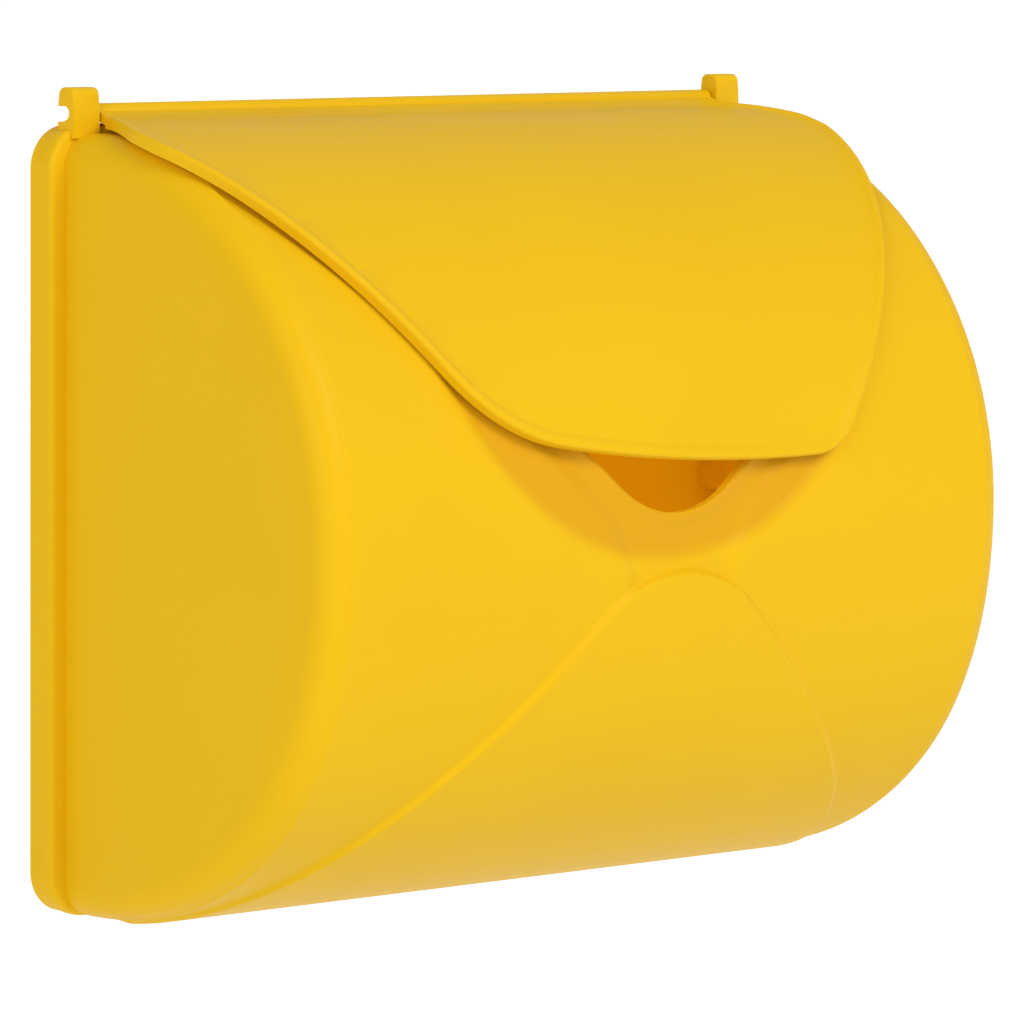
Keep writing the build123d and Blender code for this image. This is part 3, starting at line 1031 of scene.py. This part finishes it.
def mix_colour(tree, factor, first, second):
    """Two colours mixed by a factor, each of the three linked or set."""
    mix = node(tree, "ShaderNodeMix", {0: factor, 6: first, 7: second}, data_type="RGBA")
    return mix.outputs[2]


def map_range(tree, value, low, high, to_low=0.0, to_high=1.0):
    """A value carried from one range to another, clamped."""
    inputs = {"Value": value, "From Min": low, "From Max": high,
              "To Min": to_low, "To Max": to_high}
    return node(tree, "ShaderNodeMapRange", inputs, clamp=True).outputs["Result"]


def maths(tree, operation, *values):
    """The result of a sum on linked or plain values."""
    return node(tree, "ShaderNodeMath", dict(enumerate(values)), operation=operation).outputs[0]


def object_place(tree):
    """A point's own place in the piece."""
    return node(tree, "ShaderNodeTexCoord").outputs["Object"]


def noise(tree, place, scale, detail=2.0, roughness=0.5):
    """A noise pattern that lies on the piece."""
    inputs = {"Vector": place, "Scale": scale, "Detail": detail, "Roughness": roughness}
    return node(tree, "ShaderNodeTexNoise", inputs).outputs["Fac"]


def bump(tree, height, strength, distance):
    """Normals that follow a height."""
    inputs = {"Height": height, "Strength": strength, "Distance": distance}
    return node(tree, "ShaderNodeBump", inputs).outputs["Normal"]


def attribute(tree, name):
    """The value that mark gave to the mesh's points."""
    return node(tree, "ShaderNodeAttribute", attribute_name=name).outputs["Fac"]


def mould_grain_group():
    """Grain of moulded plastic: fine pits, slow ripples, pigment clouds and a few specks."""
    group, given, result = new_group(
        "Mould grain",
        [("Grain size", "NodeSocketFloat", 0.5 * MM), ("Speck share", "NodeSocketFloat", 0.01)],
        [("Height", "NodeSocketFloat"), ("Cloud", "NodeSocketFloat"), ("Speck", "NodeSocketFloat"),
         ("Gloss", "NodeSocketFloat")])
    place = object_place(group)
    density = maths(group, "DIVIDE", 1.0, given.outputs["Grain size"])
    pits = noise(group, place, scale=density, detail=3.0, roughness=0.6)
    ripples = noise(group, place, scale=45.0, detail=1.0)
    clouds = noise(group, place, scale=14.0, detail=5.0)
    cells = node(group, "ShaderNodeTexVoronoi", {"Vector": place, "Scale": 55.0}, feature="F1")
    chance = node(group, "ShaderNodeSeparateColor", {"Color": cells.outputs["Color"]})
    rare = maths(group, "LESS_THAN", chance.outputs["Red"], given.outputs["Speck share"])
    dot = map_range(group, cells.outputs["Distance"], 0.018, 0.034, 1.0, 0.0)
    set_inputs(group, result, {
        "Height": maths(group, "MULTIPLY_ADD", ripples, 6.0, pits),
        "Cloud": map_range(group, clouds, 0.3, 0.7),
        "Speck": maths(group, "MULTIPLY", rare, dot),
        "Gloss": map_range(group, pits, 0.35, 0.65)})
    return group


def new_material(name):
    """A material with its shader and the tree they are in."""
    material = bpy.data.materials.new(name)
    material.use_nodes = True
    tree = material.node_tree
    return material, tree, tree.nodes["Principled BSDF"]


def plastic_material(finish):
    """Yellow moulded plastic with a satin grain."""
    material, tree, shader = new_material("Yellow moulded plastic")
    grain = node(tree, "ShaderNodeGroup", node_tree=mould_grain_group())
    grain.inputs["Grain size"].default_value = finish.grain_size
    base = mix_colour(tree, grain.outputs["Cloud"], (*finish.plastic, 1), (*finish.plastic_deep, 1))
    # Painted shade: the plastic is darkened where the dish mark is, below the lid
    base = mix_colour(tree, attribute(tree, "dish"), base, (*finish.dish_painted_shade, 1))
    base = mix_colour(tree, grain.outputs["Speck"], base, (*finish.speck, 1))
    glow = mix_colour(tree, attribute(tree, "inside"), (0, 0, 0, 1), (*finish.glow, 1))
    set_inputs(tree, shader, {
        "Base Color": base,
        "Roughness": map_range(tree, grain.outputs["Gloss"], 0, 1, 0.40, 0.50),
        "Specular IOR Level": 0.10,
        "Normal": bump(tree, grain.outputs["Height"], strength=0.12, distance=0.1 * MM),
        "Emission Color": glow,
        "Emission Strength": 1.0})
    return material


def zinc_material(finish):
    """Zinc-plated steel with fine turning marks."""
    material, tree, shader = new_material("Zinc-plated steel")
    marks = noise(tree, object_place(tree), scale=900.0, detail=4.0)
    dull = tuple(0.72 * c for c in finish.zinc)
    set_inputs(tree, shader, {
        "Base Color": mix_colour(tree, marks, (*finish.zinc, 1), (*dull, 1)),
        "Roughness": map_range(tree, marks, 0.3, 0.7, 0.28, 0.45),
        "Metallic": 1.0,
        "Normal": bump(tree, marks, strength=0.1, distance=0.05 * MM)})
    return material


def floor_material(finish):
    """A plain pale floor, lit up gently towards its far edge."""
    material, tree, shader = new_material("Pale floor")
    place = object_place(tree)
    darker = tuple(0.98 * c for c in finish.floor)
    base = mix_colour(tree, noise(tree, place, scale=2.0), (*finish.floor, 1), (*darker, 1))
    away = node(tree, "ShaderNodeVectorMath", {0: place}, operation="LENGTH").outputs["Value"]
    far = map_range(tree, away, 1.5, 4.0)
    set_inputs(tree, shader, {
        "Base Color": base,
        "Roughness": 0.9,
        "Emission Color": mix_colour(tree, far, (0.24, 0.24, 0.24, 1), (0.6, 0.6, 0.6, 1)),
        "Emission Strength": 1.0})
    return material


def material_named(name, make):
    """The material of that name, made once."""
    found = bpy.data.materials.get(name)
    return found or make(bpy.context.scene.mailbox_finish)


def dress(piece, body, slot, *nodes):
    """A finished piece gets its material, its body and the CAD parts that it stands for."""
    if slot == "screw_steel":
        material = material_named("Zinc-plated steel", zinc_material)
    else:
        material = material_named("Yellow moulded plastic", plastic_material)
    piece.data.materials.clear()
    piece.data.materials.append(material)
    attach(piece, body)
    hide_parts(*nodes)


# Operators, one for each piece or group of like pieces

class MAILBOX_OT_shell(Operator):
    """Build the moulded shell with its rim, hooks, mail opening and envelope relief"""
    bl_idname = "mailbox.shell"
    bl_label = "Shell"

    def execute(self, context):
        scene = context.scene
        shell = make_shell(scene.mailbox_body, scene.mailbox_relief, scene.mailbox_lid)
        dress(shell, "box", "yellow_plastic", "box_shell")
        return {"FINISHED"}


class MAILBOX_OT_lid(Operator):
    """Build the hinged lid with its bead, barrel and stub pins"""
    bl_idname = "mailbox.lid"
    bl_label = "Lid"

    def execute(self, context):
        lid = make_lid(context.scene.mailbox_body, context.scene.mailbox_lid)
        dress(lid, "lid", "yellow_plastic", "lid")
        return {"FINISHED"}


class MAILBOX_OT_back_plate(Operator):
    """Build the back plate with its screw holes"""
    bl_idname = "mailbox.back_plate"
    bl_label = "Back plate"

    def execute(self, context):
        plate = softened_copy("back_plate", "back_plate_moulding", PLATE_EDGE)
        dress(plate, "box", "yellow_plastic", "back_plate")
        return {"FINISHED"}


class MAILBOX_OT_plate_screws(Operator):
    """Build the screws that hold the plate"""
    bl_idname = "mailbox.plate_screws"
    bl_label = "Plate screws"

    def execute(self, context):
        first = softened_copy(SCREWS[0], "countersunk_screw_1", SCREW_EDGE)
        start = Vector(screw_places()[0])
        screws = [first]
        for number, place in enumerate(screw_places()[1:], 2):
            screws.append(copy_of(first, f"countersunk_screw_{number}", Vector(place) - start))
        for screw, name in zip(screws, SCREWS):
            dress(screw, "box", "screw_steel", name)
        return {"FINISHED"}


def add_softbox(name, place, target, power, tint):
    """A square area light that faces a point."""
    light = bpy.data.lights.new(name, "AREA")
    light.shape = "SQUARE"
    light.size = SOFTBOX_SIDE
    light.energy = power
    light.color = tint
    lamp = bpy.data.objects.new(name, light)
    lamp.location = place
    lamp.rotation_euler = (target - Vector(place)).to_track_quat("-Z", "Y").to_euler()
    bpy.context.scene.collection.objects.link(lamp)


class MAILBOX_OT_stage(Operator):
    """Add the floor, the soft studio light and the camera"""
    bl_idname = "mailbox.stage"
    bl_label = "Stage"

    azimuth: slope(-42.356, "Azimuth", "Camera's place round the object")
    elevation: slope(5.28, "Elevation", "Camera's height above the horizon")
    roll: slope(0.38, "Roll", "Camera's turn about its own line of sight")
    distance: size(1948.7, "Distance", "From the camera's plane to the middle of the back face")
    shift_right: size(33.325, "Shift right", "How far the camera stands to the right of that line")
    shift_down: size(4.738, "Shift down", "How far it stands below it")
    lens: share(244.43, "Lens", "Focal length in millimetres for a sensor 36 mm wide")

    def execute(self, context):
        scene = context.scene
        self.add_camera(scene)
        self.add_floor()
        self.add_lights(scene)
        scene.view_settings.view_transform = "Standard"
        return {"FINISHED"}

    def add_camera(self, scene):
        a, e = self.azimuth, self.elevation
        back = Vector((math.sin(a) * math.cos(e), -math.cos(a) * math.cos(e), math.sin(e)))
        right = (-back).cross(Vector((0, 0, 1))).normalized()
        up = right.cross(-back)
        rolled_right = math.cos(self.roll) * right + math.sin(self.roll) * up
        rolled_up = math.cos(self.roll) * up - math.sin(self.roll) * right
        camera = bpy.data.objects.new("Camera", bpy.data.cameras.new("Camera"))
        scene.collection.objects.link(camera)
        camera.data.sensor_width = 36
        camera.data.lens = self.lens
        camera.data.clip_start = 0.05
        place = back * self.distance + rolled_right * self.shift_right - rolled_up * self.shift_down
        turn = Matrix((rolled_right, rolled_up, back)).transposed()
        camera.matrix_world = Matrix.Translation(place) @ turn.to_4x4()
        scene.camera = camera

    def add_floor(self):
        clear_selection()
        place = (0, 0, SHELL_LOW.z - FLOOR_DROP)
        bpy.ops.mesh.primitive_plane_add(size=FLOOR_SIZE, location=place)
        floor = settle(named("floor"))
        floor.data.materials.append(material_named("Pale floor", floor_material))

    def add_lights(self, scene):
        world = bpy.data.worlds.new("Studio")
        world.use_nodes = True
        set_inputs(world.node_tree, world.node_tree.nodes["Background"],
                   {"Color": (1, 1, 1, 1), "Strength": WORLD_STRENGTH})
        scene.world = world
        for name, place, power, tint in SOFTBOXES:
            add_softbox(name, place, (SHELL_LOW + SHELL_HIGH) / 2, power, tint)


class MAILBOX_PT_sidebar(Panel):
    """Lists the mailbox's pieces"""
    bl_label = "Half-Round Mailbox"
    bl_idname = "MAILBOX_PT_sidebar"
    bl_space_type = "VIEW_3D"
    bl_region_type = "UI"
    bl_category = "Mailbox"

    def draw(self, context):
        for operator in PIECES:
            self.layout.operator(operator.bl_idname)
        for group in GROUPS:
            values = getattr(context.scene, group)
            box = self.layout.box()
            for name in values.__annotations__:
                box.prop(values, name)


GROUPS = {
    "mailbox_body": MailboxBodySizes,
    "mailbox_relief": MailboxReliefSizes,
    "mailbox_lid": MailboxLidSizes,
    "mailbox_finish": MailboxFinish,
}
PIECES = (MAILBOX_OT_shell, MAILBOX_OT_lid, MAILBOX_OT_back_plate, MAILBOX_OT_plate_screws,
          MAILBOX_OT_stage)
CLASSES = (*GROUPS.values(), *PIECES, MAILBOX_PT_sidebar)


def register():
    for each in CLASSES:
        bpy.utils.register_class(each)
    for name, group in GROUPS.items():
        setattr(bpy.types.Scene, name, PointerProperty(type=group))


def unregister():
    for name in GROUPS:
        delattr(bpy.types.Scene, name)
    for each in reversed(CLASSES):
        bpy.utils.unregister_class(each)


def main():
    """Builds every piece and the stage."""
    register()
    bpy.ops.mailbox.shell()
    bpy.ops.mailbox.lid()
    bpy.ops.mailbox.back_plate()
    bpy.ops.mailbox.plate_screws()
    bpy.ops.mailbox.stage()


if __name__ == "__main__":
    main()
